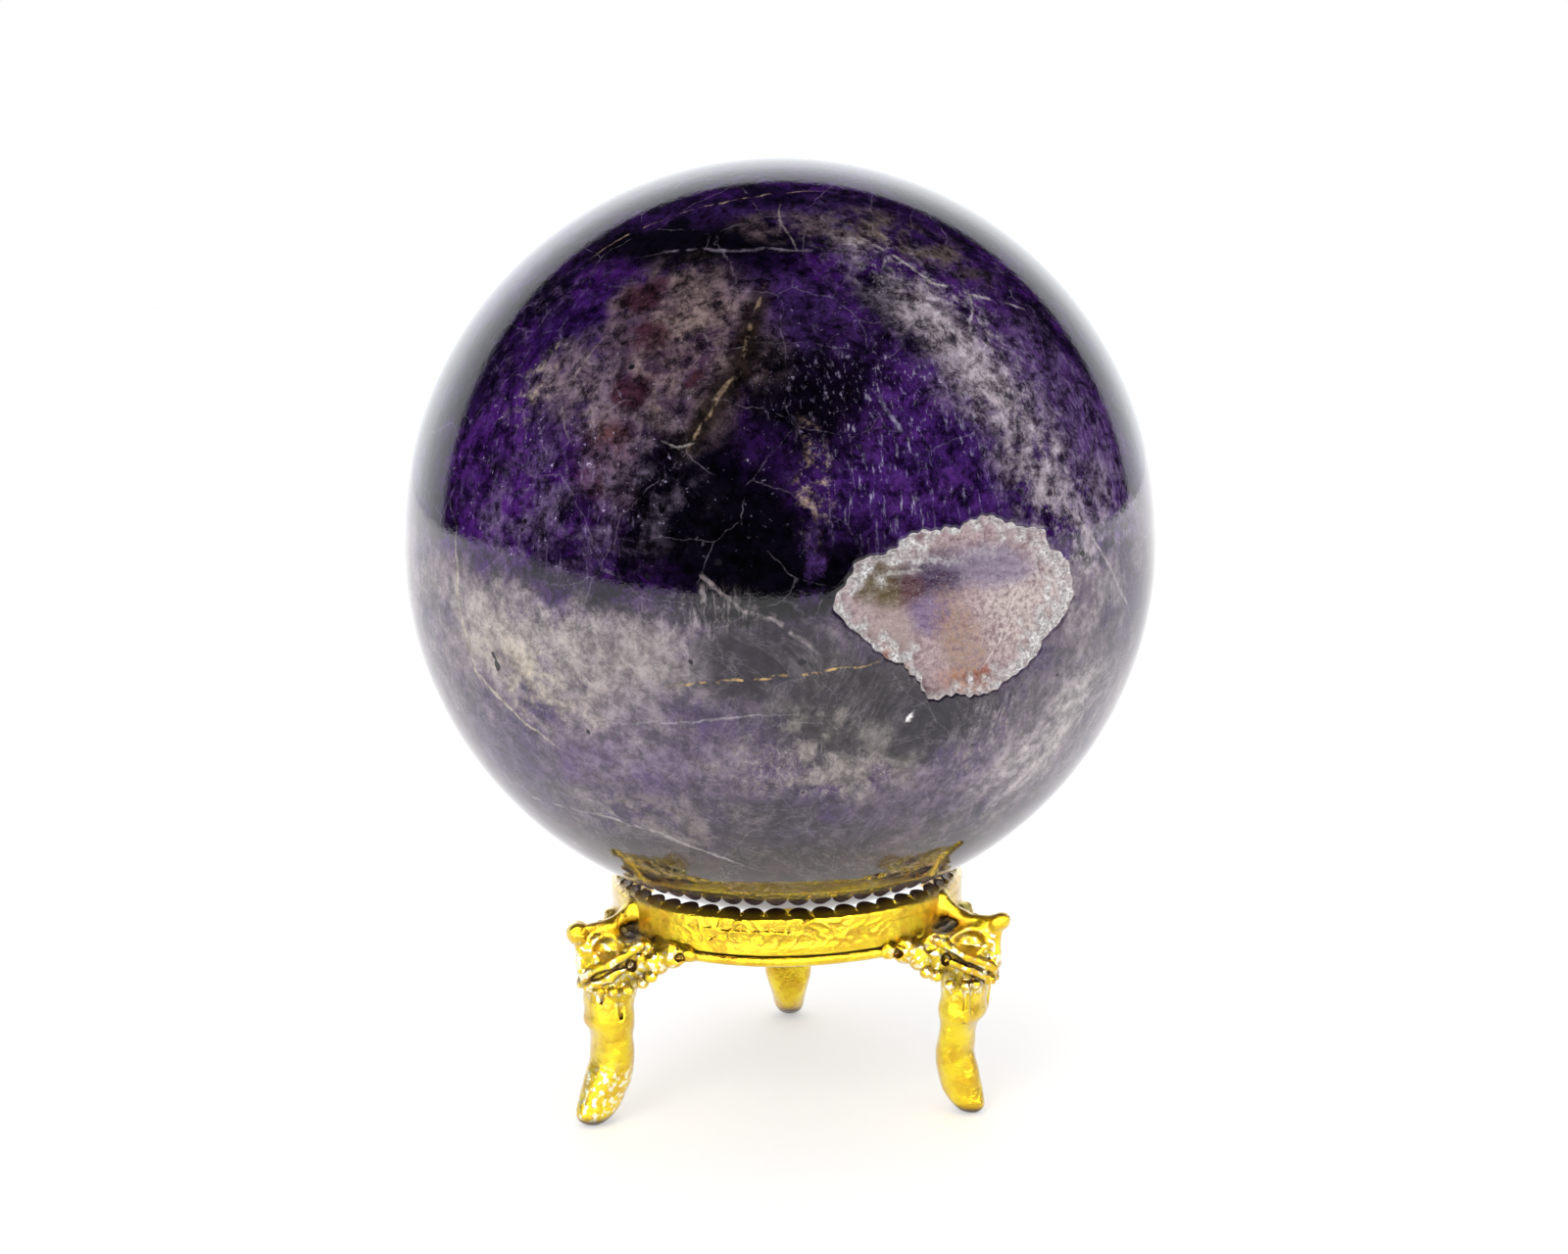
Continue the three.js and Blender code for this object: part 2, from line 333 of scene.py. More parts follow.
def sculpt_leg(place, seed):
    clay = Clay(CLAY_LOW, CLAY_HIGH, CLAY_STEP)
    random = np.random.default_rng(seed)
    lean = FOOT_LEAN[place]

    def wobble(point, amount):
        return np.array(point) + random.normal(0, amount, 3)

    clay.press(limb(lean, GIRTH[place]), 0.2)

    # lower leg: a soft crest down its front, and the step where the sleeve of the upper leg ends
    clay.press(rod((20.2 + lean, 0.2, 1.8), (19.9 + 0.75 * lean, -0.2, 5.2), 0.5, 0.3), 0.9)
    clay.press(blob((19.0 + 0.35 * lean, 0, 9.9), (2.0, 2.6, 1.0)), 1.0)

    # upper leg: a sharp rib down each flank with a groove inside it
    clay.mirrored(side_rod, (20.15, 2.35, 13.2), (19.95, 2.2, 9.6), 0.3, 0.22, blend=0.28)
    clay.mirrored(side_rod, (19.5, 2.95, 13.0), (19.4, 2.65, 10.4), 0.22, 0.14, blend=0.3, carve=True)
    clay.mirrored(side_rod, (20.9, 1.75, 12.8), (20.7, 1.6, 10.6), 0.16, 0.1, blend=0.3, carve=True)

    # the knee's body and its wings along the collar's lower edge
    clay.press(blob((18.9, 0, 15.2), (2.4, 3.1, 2.7)), 0.7)
    clay.mirrored(side_blob, on_wall(9, 17.6, 15.7), (1.5, 1.9, 1.95), 9, blend=0.6)
    clay.mirrored(side_blob, on_wall(15.5, 17.3, 16.1), (1.15, 1.5, 1.5), 15, blend=0.5)
    clay.mirrored(side_blob, on_wall(21.5, 17.05, 16.65), (0.85, 1.3, 1.0), 21, blend=0.4)
    clay.mirrored(side_blob, on_wall(26.5, 16.8, 17.05), (0.65, 1.2, 0.6), 26, blend=0.3)

    # the crest that runs out from the collar to the spur, the web under it, and the wall's flow into it
    clay.press(rod((16.6, 0, 19.6), (18.7, 0, 18.6), 1.0, 0.62), 0.6)
    clay.press(rod((18.7, 0, 18.6), (21.9, 0, 18.55), 0.6, 0.5), 0.5)
    clay.press(blob((19.9, 0, 16.9), (2.3, 1.5, 1.7)), 0.5)
    clay.press((collar_flank, np.array([14, -FLANK_WIDTH, 17]), np.array([17, FLANK_WIDTH, 20.7])), 1.3)

    # the hollow cup on each flank, under the crest
    clay.mirrored(side_blob, (20.25, 2.15, 17.1), (1.55, 1.5, 1.1), -14, 8, blend=0.3, carve=True)
    clay.mirrored(side_blob, (18.6, 3.0, 17.6), (1.1, 0.9, 0.75), -20, blend=0.3, carve=True)

    # keel and spur
    clay.press(rod((21.5, 0, 13.6), (21.9, 0, 15.6), 0.55, 0.5), 0.35)
    clay.press(rod((21.9, 0, 15.6), (22.0, 0, 18.3), 0.5, 0.55), 0.3)
    if place == "front_left":
        clay.press(blob((22.3, 0.0, 18.35), (0.9, 1.05, 1.05)), 0.2)
        clay.press(rod((21.85, -0.7, 19.0), (21.5, 0.9, 19.0), 0.34), 0.2)
        clay.mirrored(side_rod, (21.7, 0.85, 18.75), (21.6, 0.95, 18.1), 0.16, blend=0.16, carve=True)
    else:
        clay.press(rod((20.9, 0, 18.0), (22.5, 0, 18.95), 0.85, 0.6), 0.3)
        clay.press(blob((22.4, 0.0, 18.65), (1.0, 0.95, 0.75), tilt=-35), 0.25)

    # two ridges from the foot of the keel up round each flank, with a groove between them
    for shift, thick in ((0.0, 0.46), (-1.15, 0.42)):
        down = np.array([0, 0, shift])
        foot, bend = wobble((21.75, 0.5, 14.5), 0.05), wobble((20.4, 2.6, 15.75), 0.05)
        clay.mirrored(side_rod, foot + down, bend + down, thick, blend=0.22)
        clay.mirrored(side_rod, (20.4, 2.6, 15.75) + down, wobble((17.9, 4.1, 17.5), 0.08) + down, thick, blend=0.22)
    clay.mirrored(side_rod, (21.3, 1.55, 14.45), (18.6, 4.0, 16.25), 0.2, 0.26, blend=0.2, carve=True)
    clay.mirrored(side_rod, (20.9, 2.4, 16.2), (19.2, 3.7, 17.2), 0.16, 0.2, blend=0.2, carve=True)

    # small rounded lobes along the lower edge
    for point, size in (
        ((21.35, 0.9, 13.2), 0.42),
        ((20.85, 1.9, 13.05), 0.48),
        ((20.05, 2.75, 13.15), 0.52),
        ((19.0, 3.45, 13.4), 0.58),
        ((17.95, 4.3, 14.1), 0.62),
        ((17.4, 5.35, 14.75), 0.6),
    ):
        radii = (size, size * 1.1, size * 0.95)
        clay.mirrored(lambda side: side_blob(side, wobble(point, 0.07), radii), blend=0.16)

    # crossing ribs and pits on the wings
    clay.mirrored(side_rod, on_wall(12, 17.7, 17.8), on_wall(21, 17.25, 16.3), 0.36, 0.3, blend=0.18)
    clay.mirrored(side_rod, on_wall(14, 18.0, 15.2), on_wall(22, 17.2, 17.6), 0.36, 0.42, blend=0.18)
    clay.mirrored(side_blob, on_wall(21, 16.75, 17.6), (0.6, 1.0, 0.5), 21, blend=0.3)
    clay.mirrored(side_blob, on_wall(25.5, 17.35, 16.85), (0.5, 0.45, 0.4), blend=0.2, carve=True)
    clay.mirrored(side_blob, on_wall(15.5, 18.3, 16.9), (0.45, 0.55, 0.4), blend=0.2, carve=True)
    clay.mirrored(side_blob, on_wall(10.5, 18.9, 15.6), (0.4, 0.5, 0.5), blend=0.2, carve=True)

    # cast unevenness, coarse on the smooth limb and finer on the leaf
    x, y, z = clay.grid()
    leafy = np.clip((z - 12.2) / 1.5, 0, 1)
    clay.field += 0.06 * clay.noise(1.4, seed + 1) + (0.02 + 0.03 * leafy) * clay.noise(0.55, seed + 2)
    radius = np.sqrt(x**2 + y**2)
    clay.field = np.maximum(clay.field, WALL_RADIUS - 0.75 - radius)
    clay.field = np.maximum(clay.field, -z)
    return surface_net(clay.field, clay.low, clay.step)


def make_leg(place, seed, material):
    points, quads = sculpt_leg(place, seed)
    turn = np.array(Matrix.Rotation(math.radians(LEG_AZIMUTHS[place]), 3, "Z"))
    piece = make_object(f"gilded_leg_{place}", points @ turn.T, quads, material)
    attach(piece, "stand")
    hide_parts(f"leg_{place}", f"knee_leaf_{place}")
    return piece


# ---- Ring: toothed seat, collar and bead ----
RING_STEPS = 16 * TOOTH_COUNT


def round_noise(angles, heights, spacing, seed):
    """Smooth random values round a ring, which close on themselves."""
    random = np.random.default_rng(seed)
    total = np.zeros((len(angles), heights.shape[-1]))
    for _ in range(26):
        waves = int(round(WALL_RADIUS / spacing * random.uniform(0.5, 1.6)))
        climb = random.uniform(-1, 1) * 2 * math.pi / (2.2 * spacing)
        phase = random.uniform(0, 2 * math.pi)
        total += np.sin(waves * angles[:, None] + climb * heights + phase)
    return total / math.sqrt(13)


def brocade(angles, heights):
    """Cast relief on the ring's outer wall, half way between the legs: how far it stands out."""
    between = np.cos(1.5 * (angles - math.radians(270))) ** 2
    between = np.clip((between - 0.3) / 0.5, 0, 1)[:, None]
    ribs = np.clip(1 - 1.6 * np.abs(round_noise(angles, heights, 0.55, 21)), 0, 1) - 0.35
    low, high = COLLAR_BOTTOM + 0.7, COLLAR_TOP + 0.95
    window = np.clip((heights - low) / 0.5, 0, 1) * np.clip((high - heights) / 0.25, 0, 1)
    return 0.3 * between * window * ribs


def all_round(profile, angles):
    """The same radii and heights at every angle, where a row of a profile doesn't give one for each."""
    one = np.ones(len(angles))
    return np.stack([np.stack([radius * one, height * one], -1) for radius, height in profile], axis=1)


def make_seat(angles, material):
    """The ring's rounded rim with its row of tongues, which end just under the ball."""
    turn = (angles * TOOTH_COUNT / (2 * math.pi)) % 1.0 - 0.5
    tongue = np.sqrt(np.clip(1 - 0.96 * (2 * turn) ** 2, 0, 1))[:, None]
    uneven = 0.06 * np.repeat(np.random.default_rng(5).standard_normal(TOOTH_COUNT), RING_STEPS // TOOTH_COUNT)
    tip_radius = WALL_RADIUS - 0.5 - (WALL_RADIUS - 0.5 - TIP_RADIUS) * tongue[:, 0]
    tip_top = TIP_Z - 0.4 + 0.34 * tongue[:, 0] + uneven * 0.4
    rim, top = WALL_RADIUS, COLLAR_TOP
    controls = [
        (rim - 0.12, top - 0.02),
        (rim - 0.03, top + 0.05),
        (rim - 0.02, top + 0.3),
        (rim, top + 0.65),
        (rim - 0.08, top + 0.98),
        (rim - 0.42, top + 1.2),
        (tip_radius + 0.16, tip_top),
        (tip_radius, tip_top - 0.18),
        (tip_radius + 0.16, tip_top - 0.42),
        (rim - 0.75, top + 0.6),
        (rim - 1.05, top + 0.35),
        (rim - 1.05, top - 0.02),
    ]
    profiles = closed_curve(all_round(controls, angles), 3)
    wave = round_noise(angles, profiles[..., 1], 2.0, 11)
    profiles[..., 0] += 0.02 * wave
    wall = np.clip((profiles[..., 0] - rim + 0.3) / 0.15, 0, 1)
    profiles[..., 0] += wall * brocade(angles, profiles[..., 1])
    piece = turned("toothed_rim", profiles, angles, material)
    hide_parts("toothed_seat")
    return piece


def make_collar(angles, material):
    """The upright band, with cast brocade relief between the legs."""
    rows = 26
    heights = np.linspace(COLLAR_BOTTOM + 0.05, COLLAR_TOP, rows)
    climb = (heights - COLLAR_BOTTOM) / (COLLAR_TOP - COLLAR_BOTTOM)
    outer = WALL_RADIUS - 0.03 - 0.06 * (1 - climb) ** 2
    grid = np.broadcast_to(heights, (len(angles), rows))
    relief = brocade(angles, grid) + 0.02 * round_noise(angles, grid, 1.6, 22)
    wall = np.stack([outer + relief, grid], -1)
    inner = [
        (WALL_RADIUS - 0.35, COLLAR_TOP + 0.02),
        (WALL_RADIUS - 1.0, COLLAR_TOP + 0.02),
        (WALL_RADIUS - 1.08, COLLAR_TOP - 0.6),
        (WALL_RADIUS - 1.1, COLLAR_BOTTOM + 0.6),
        (WALL_RADIUS - 1.02, COLLAR_BOTTOM),
        (WALL_RADIUS - 0.25, COLLAR_BOTTOM),
    ]
    inside = all_round(inner, angles)
    inside[:, 2:4, 0] += 0.03 * round_noise(angles, inside[:, 2:4, 1], 1.8, 23)
    piece = turned("relief_collar", np.concatenate([wall, inside], axis=1), angles, material)
    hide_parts("collar_ring")
    return piece


def make_bead(angles, material):
    turn = np.linspace(0, 2 * math.pi, 20, endpoint=False)
    centre_z = RING_BOTTOM + 0.28
    profile = np.stack([WALL_RADIUS - 0.42 + 0.5 * np.cos(turn), centre_z + 0.5 * np.sin(turn)], -1)
    profiles = np.broadcast_to(profile, (len(angles), 20, 2)).copy()
    wave = round_noise(angles, profiles[..., 1], 2.4, 31)
    profiles[..., 0] += 0.03 * wave
    profiles[..., 1] += 0.02 * round_noise(angles, profiles[..., 0] * 0, 3.0, 32)
    piece = turned("ring_bead", profiles, angles, material)
    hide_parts("lower_bead")
    return piece


def make_ring(material):
    angles = np.arange(RING_STEPS) * 2 * math.pi / RING_STEPS
    for piece in (make_seat(angles, material), make_collar(angles, material), make_bead(angles, material)):
        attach(piece, "stand")


# ---- Ball: polished surface with an open pocket, and the pocket's crust of small quartz points ----
POCKET_AZIMUTH = math.radians(-64.2)
POCKET_ELEVATION = math.radians(-4.0)
# the pocket's mouth, anticlockwise from its right side: across and up from its centre
POCKET_MOUTH = np.array([
    [11.4, 0.2], [11.0, 2.2], [10.3, 3.6], [8.6, 4.4], [7.6, 6.0], [4.9, 6.6], [2.2, 7.6], [-1.2, 6.9],
    [-4.9, 6.6], [-7.2, 5.2], [-9.2, 4.7], [-10.6, 2.9], [-11.6, 1.4], [-10.8, -0.4], [-9.2, -1.7],
    [-7.4, -3.3], [-5.3, -4.6], [-4.0, -6.0], [-2.8, -7.5], [-0.4, -7.3], [2.4, -7.6], [4.6, -6.6],
    [7.1, -5.0], [8.7, -3.0], [10.6, -1.6],
])
POCKET_OUT = np.array([
    math.cos(POCKET_AZIMUTH) * math.cos(POCKET_ELEVATION),
    math.sin(POCKET_AZIMUTH) * math.cos(POCKET_ELEVATION),
    math.sin(POCKET_ELEVATION),
])
POCKET_ACROSS = np.array([-math.sin(POCKET_AZIMUTH), math.cos(POCKET_AZIMUTH), 0])
POCKET_UP = np.cross(POCKET_OUT, POCKET_ACROSS)
ROUND_STEPS = 400
POCKET_DEPTH = 1.7
POCKET_REACH = 14.4


def smoothstep(low, high, value):
    t = np.clip((value - low) / (high - low), 0, 1)
    return t * t * (3 - 2 * t)


def mouth_radius(turns):
    """The distance from the pocket's centre to its mouth's edge at each angle, slightly ragged."""
    outline = closed_curve(POCKET_MOUTH, 8)
    angle = np.arctan2(outline[:, 1], outline[:, 0])
    order = np.argsort(angle)
    radius = np.interp(turns, angle[order], np.hypot(*outline.T)[order], period=2 * math.pi)
    random = np.random.default_rng(41)
    for waves in range(9, 60, 3):
        radius = radius + random.normal(0, 0.04) * np.sin(waves * turns + random.uniform(0, 6.3))
    return radius


def on_ball(across, up, height):
    """Points at a height over the ball's surface, above places across and up from the pocket's centre."""
    spread = np.hypot(across, up)
    angle = spread / BALL_RADIUS
    share = np.where(spread > 1e-9, np.sin(angle) / np.maximum(spread, 1e-9), 1 / BALL_RADIUS)
    direction = (
        np.cos(angle)[..., None] * POCKET_OUT
        + (across * share)[..., None] * POCKET_ACROSS
        + (up * share)[..., None] * POCKET_UP
    )
    return direction * (BALL_RADIUS + height)[..., None] + np.array([0, 0, BALL_Z])


def make_shell(name, rings, middles, material):
    """A closed piece on the ball from rings of points, with a middle point for the first and for the last."""
    count, steps = rings.shape[:2]
    here = np.arange(count * steps).reshape(count, steps)
    side = np.roll(here, -1, axis=1)
    faces = np.stack([here[:-1], here[1:], side[1:], side[:-1]], -1).reshape(-1, 4)
    piece = make_object(name, np.concatenate([rings.reshape(-1, 3), middles]), faces, material)
    sheet = bmesh.new()
    sheet.from_mesh(piece.data)
    sheet.verts.ensure_lookup_table()
    caps = [(count * steps, a, b) for a, b in zip(here[0], side[0])]
    caps += [(count * steps + 1, b, a) for a, b in zip(here[-1], side[-1])]
    for corners in caps:
        sheet.faces.new([sheet.verts[int(i)] for i in corners]).smooth = True
    sheet.to_mesh(piece.data)
    sheet.free()
    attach(piece, "ball")
    return piece


def make_ball(material):
    """The ball, as rings of points about the pocket's centre, closely spaced where the pocket is."""
    turns = np.arange(ROUND_STEPS) * 2 * math.pi / ROUND_STEPS
    near = np.arange(0.06, POCKET_REACH, 0.13)
    far = np.linspace(POCKET_REACH, math.pi * BALL_RADIUS - 0.4, 112)
    angle, distance = np.meshgrid(turns, np.concatenate([near, far]))
    inside = mouth_radius(turns)[None, :] - distance
    drop = POCKET_DEPTH * smoothstep(-0.02, 0.42, inside) + 0.04 * smoothstep(-0.2, 0.02, inside)
    rings = on_ball(distance * np.cos(angle), distance * np.sin(angle), -drop)
    middles = on_ball(np.array([0, math.pi * BALL_RADIUS]), np.zeros(2), np.array([-POCKET_DEPTH, 0]))
    piece = make_shell("amethyst_ball", rings, middles, material)
    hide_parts("crystal_ball")


def grains(across, up, count, size, seed):
    """Small quartz points: the height of the tallest of the nearest ones at each place, 0 to 1."""
    from mathutils import kdtree

    random = np.random.default_rng(seed)
    places = np.stack([random.uniform(-12.5, 12.5, count), random.uniform(-9, 9, count)], -1)
    tallness = random.uniform(0.45, 1.0, count)
    tree = kdtree.KDTree(count)
    for i, (x, y) in enumerate(places):
        tree.insert((x, y, 0), i)
    tree.balance()
    height = np.zeros(across.size)
    for k, (x, y) in enumerate(zip(across.ravel(), up.ravel())):
        height[k] = max(tallness[i] - gap / size for _, i, gap in tree.find_n((x, y, 0), 3))
    return np.clip(height, 0, 1).reshape(across.shape)


def patch_noise(across, up, spacing, seed):
    random = np.random.default_rng(seed)
    total = np.zeros_like(across)
    for _ in range(24):
        heading = random.uniform(0, 2 * math.pi)
        pitch = 2 * math.pi / (2.2 * spacing) * random.uniform(0.5, 1.5)
        total += np.sin(pitch * (across * math.cos(heading) + up * math.sin(heading)) + random.uniform(0, 6.3))
    return total / math.sqrt(12)


CRUST_RINGS = 150


def make_crust(material):
    turns = np.arange(ROUND_STEPS) * 2 * math.pi / ROUND_STEPS
    share = np.concatenate([np.linspace(0.004, 0.72, 78), np.linspace(0.72, 1, CRUST_RINGS - 77)[1:]])
    rim = mouth_radius(turns) - 0.04
    across = share[:, None] * (rim * np.cos(turns))[None, :]
    up = share[:, None] * (rim * np.sin(turns))[None, :]
    inside = rim[None, :] * (1 - share[:, None])
    right, left = np.cos(turns).clip(0, 1), (-np.cos(turns + 0.35)).clip(0, 1)
    sugar_width = 0.75 + 1.5 * right**2 + 1.1 * left**2 + 0.5 * np.sin(5 * turns + 2)
    sugar = 1 - smoothstep(0.45, 1.35, inside / sugar_width[None, :] + 0.3 * patch_noise(across, up, 0.8, 51))
    whiteness = 0.4 + 0.6 * np.clip(left + 0.85 * right + 0.5 * np.clip(-np.sin(turns), 0, 1), 0, 1)
    second = 0.7 * np.exp(-(((inside - 2.8) / 0.5) ** 2)) * smoothstep(0.25, 0.85, np.sin(turns - 0.35))[None, :]
    sugary = np.clip(sugar + 0.8 * second, 0, 1)
    frosted = np.clip(sugary * whiteness * (0.85 + 0.3 * patch_noise(across, up, 0.6, 56)), 0, 1)
    coarse = grains(across, up, 1500, 0.42, 52)
    fine = grains(across, up, 5200, 0.22, 53)
    floor = -0.95 - 0.25 * smoothstep(0, 6, inside) + 0.12 * patch_noise(across, up, 2.6, 54)
    ridge = -0.3 - 0.25 * smoothstep(0.0, 1.6, inside)
    height = ridge * sugar + (floor + 0.45 * second) * (1 - sugar)
    height += (0.1 + 0.3 * sugary) * (coarse - 0.35) + (0.07 + 0.1 * sugary) * (fine - 0.3)
    height += 0.05 * patch_noise(across, up, 0.5, 55)
    edge = smoothstep(0, 0.25, inside)
    height = np.minimum(height, -0.03) * edge - 0.16 * (1 - edge)
    top = on_ball(across, up, height)
    under = on_ball(across, up, np.minimum(height - 0.35, -1.3 * edge - 0.45))
    under[-1] = on_ball(across[-1], up[-1], np.full(ROUND_STEPS, -0.4))
    low_share = slice(None, None, 6)
    bottom = np.concatenate([under[:-1][low_share], under[-1:]])[::-1]
    rings = np.concatenate([top, bottom])
    middles = on_ball(np.zeros(2), np.zeros(2), np.array([height[0].mean(), -1.65]))
    piece = make_shell("druzy_crust", rings, middles, material)
    values = np.zeros(len(piece.data.vertices))
    values[: frosted.size] = frosted.ravel()
    layer = piece.data.attributes.new("sugar", "FLOAT", "POINT")
    layer.data.foreach_set("value", values)
    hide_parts("druzy_lining")


# ---- Materials ----
class Graph:
    """Short ways to add shader nodes to a new material, or to the world."""

    def __init__(self, name, owner=None):
        self.material = owner or bpy.data.materials.new(name)
        self.material.use_nodes = True
        self.tree = self.material.node_tree
        self.shader = self.tree.nodes["Background" if owner else "Principled BSDF"]

    def set(self, **values):
        """Sets the shader's own inputs, named with _ for each space."""
        for name, value in values.items():
            self.put(self.shader.inputs[name.replace("_", " ")], value)

    def put(self, socket, value):
        if isinstance(value, bpy.types.NodeSocket):
            self.tree.links.new(value, socket)
        elif socket.type == "RGBA":
            socket.default_value = (*value, 1)
        else:
            socket.default_value = value

    def node(self, kind, inputs=(), **settings):
        made = self.tree.nodes.new("ShaderNode" + kind)
        for key, value in settings.items():
            setattr(made, key, value)
        for key, value in dict(inputs).items():
            self.put(made.inputs[key], value)
        return made

    def math(self, operation, *values):
        return self.node("Math", dict(enumerate(values)), operation=operation).outputs[0]

    def times(self, *values):
        return self.math("MULTIPLY", *values)

    def fit(self, value, low, high, start=0.0, end=1.0, kind="SMOOTHSTEP"):
        made = self.node("MapRange", {0: value, 1: low, 2: high, 3: start, 4: end}, interpolation_type=kind)
        return made.outputs[0]

    def mix(self, factor, first, second, blend="MIX"):
        made = self.node("Mix", {0: factor, 6: first, 7: second}, data_type="RGBA", blend_type=blend)
        return made.outputs[2]

    def vector(self, operation, *values):
        made = self.node("VectorMath", dict(enumerate(values)), operation=operation)
        return made.outputs["Value" if operation in ("LENGTH", "DOT_PRODUCT") else "Vector"]

    def noise(self, place, scale, detail=3.0, roughness=0.55, distortion=0.0, output=0):
        inputs = {"Vector": place, "Scale": scale, "Detail": detail, "Roughness": roughness, "Distortion": distortion}
        return self.node("TexNoise", inputs).outputs[output]

    def mapped(self, place, kind="POINT", location=(0, 0, 0), rotation=(0, 0, 0), scale=(1, 1, 1)):
        inputs = {"Vector": place, "Location": location, "Rotation": rotation, "Scale": scale}
        return self.node("Mapping", inputs, vector_type=kind).outputs[0]

    def object_place(self, centre_mm, size_mm):
        """Object coordinates from a centre, in units of a size."""
        scale = 1 / (size_mm * MM)
        location = tuple(-c * MM * scale for c in centre_mm)
        place = self.node("TexCoord").outputs["Object"]
        return self.mapped(place, location=location, scale=(scale,) * 3)


def heading(azimuth, elevation):
    """The unit vector at an angle right of the ball's front and an angle up, in degrees."""
    a, e = math.radians(azimuth), math.radians(elevation)
    return Vector((math.sin(a) * math.cos(e), -math.cos(a) * math.cos(e), math.sin(e)))


class Stone(Graph):
    """A stone's shader, painted with zones and streaks on a unit ball."""

    painted = 0

    def in_order(self):
        """Ties the next masks to the colour so far, so that Cycles works them out in order, within its stack."""
        self.painted += 1
        if self.painted % 8 == 0:
            tie = self.vector("MULTIPLY", self.color, (1e-9,) * 3)
            self.rough_place = self.vector("ADD", self.rough_place, tie)
            self.crooked_place = self.vector("ADD", self.crooked_place, tie)

    def patch(self, centre, long, short, turn, soft, place):
        """1 inside an ellipse on the ball and 0 outside it; turn lifts its long side, anticlockwise."""
        east = Vector((-centre.y, centre.x, 0)).normalized()
        north = centre.cross(east)
        angle = math.radians(turn)
        first = east * math.cos(angle) + north * math.sin(angle)
        axes = Matrix((first, centre.cross(first), centre)).transposed()
        local = self.mapped(place, "TEXTURE", centre, axes.to_euler(), (long, short, 0.6))
        return self.fit(self.vector("LENGTH", local), 1 + soft, 1 - soft)

    def paint(self, mask, color, strength, grain):
        if grain is not None:
            mask = self.times(mask, grain)
        if strength != 1.0:
            mask = self.times(mask, strength)
        self.color = self.mix(mask, self.color, color)

    def zone(self, azimuth, elevation, long, short, turn, color, strength=1.0, grain=None, soft=0.45):
        self.in_order()
        mask = self.patch(heading(azimuth, elevation), long, short, turn, soft, self.rough_place)
        self.paint(mask, color, strength, grain)

    def streak(self, path, width, color, strength, grain=None, soft=0.6):
        """A thin line through places on the ball, each an azimuth and an elevation."""
        for start, end in zip(path, path[1:]):
            self.in_order()
            first, second = heading(*start), heading(*end)
            centre = (first + second).normalized()
            east = Vector((-centre.y, centre.x, 0)).normalized()
            along = second - first
            turn = math.degrees(math.atan2(along.dot(centre.cross(east)), along.dot(east)))
            mask = self.patch(centre, 0.56 * along.length + width, width, turn, soft, self.crooked_place)
            self.paint(mask, color, strength, grain)


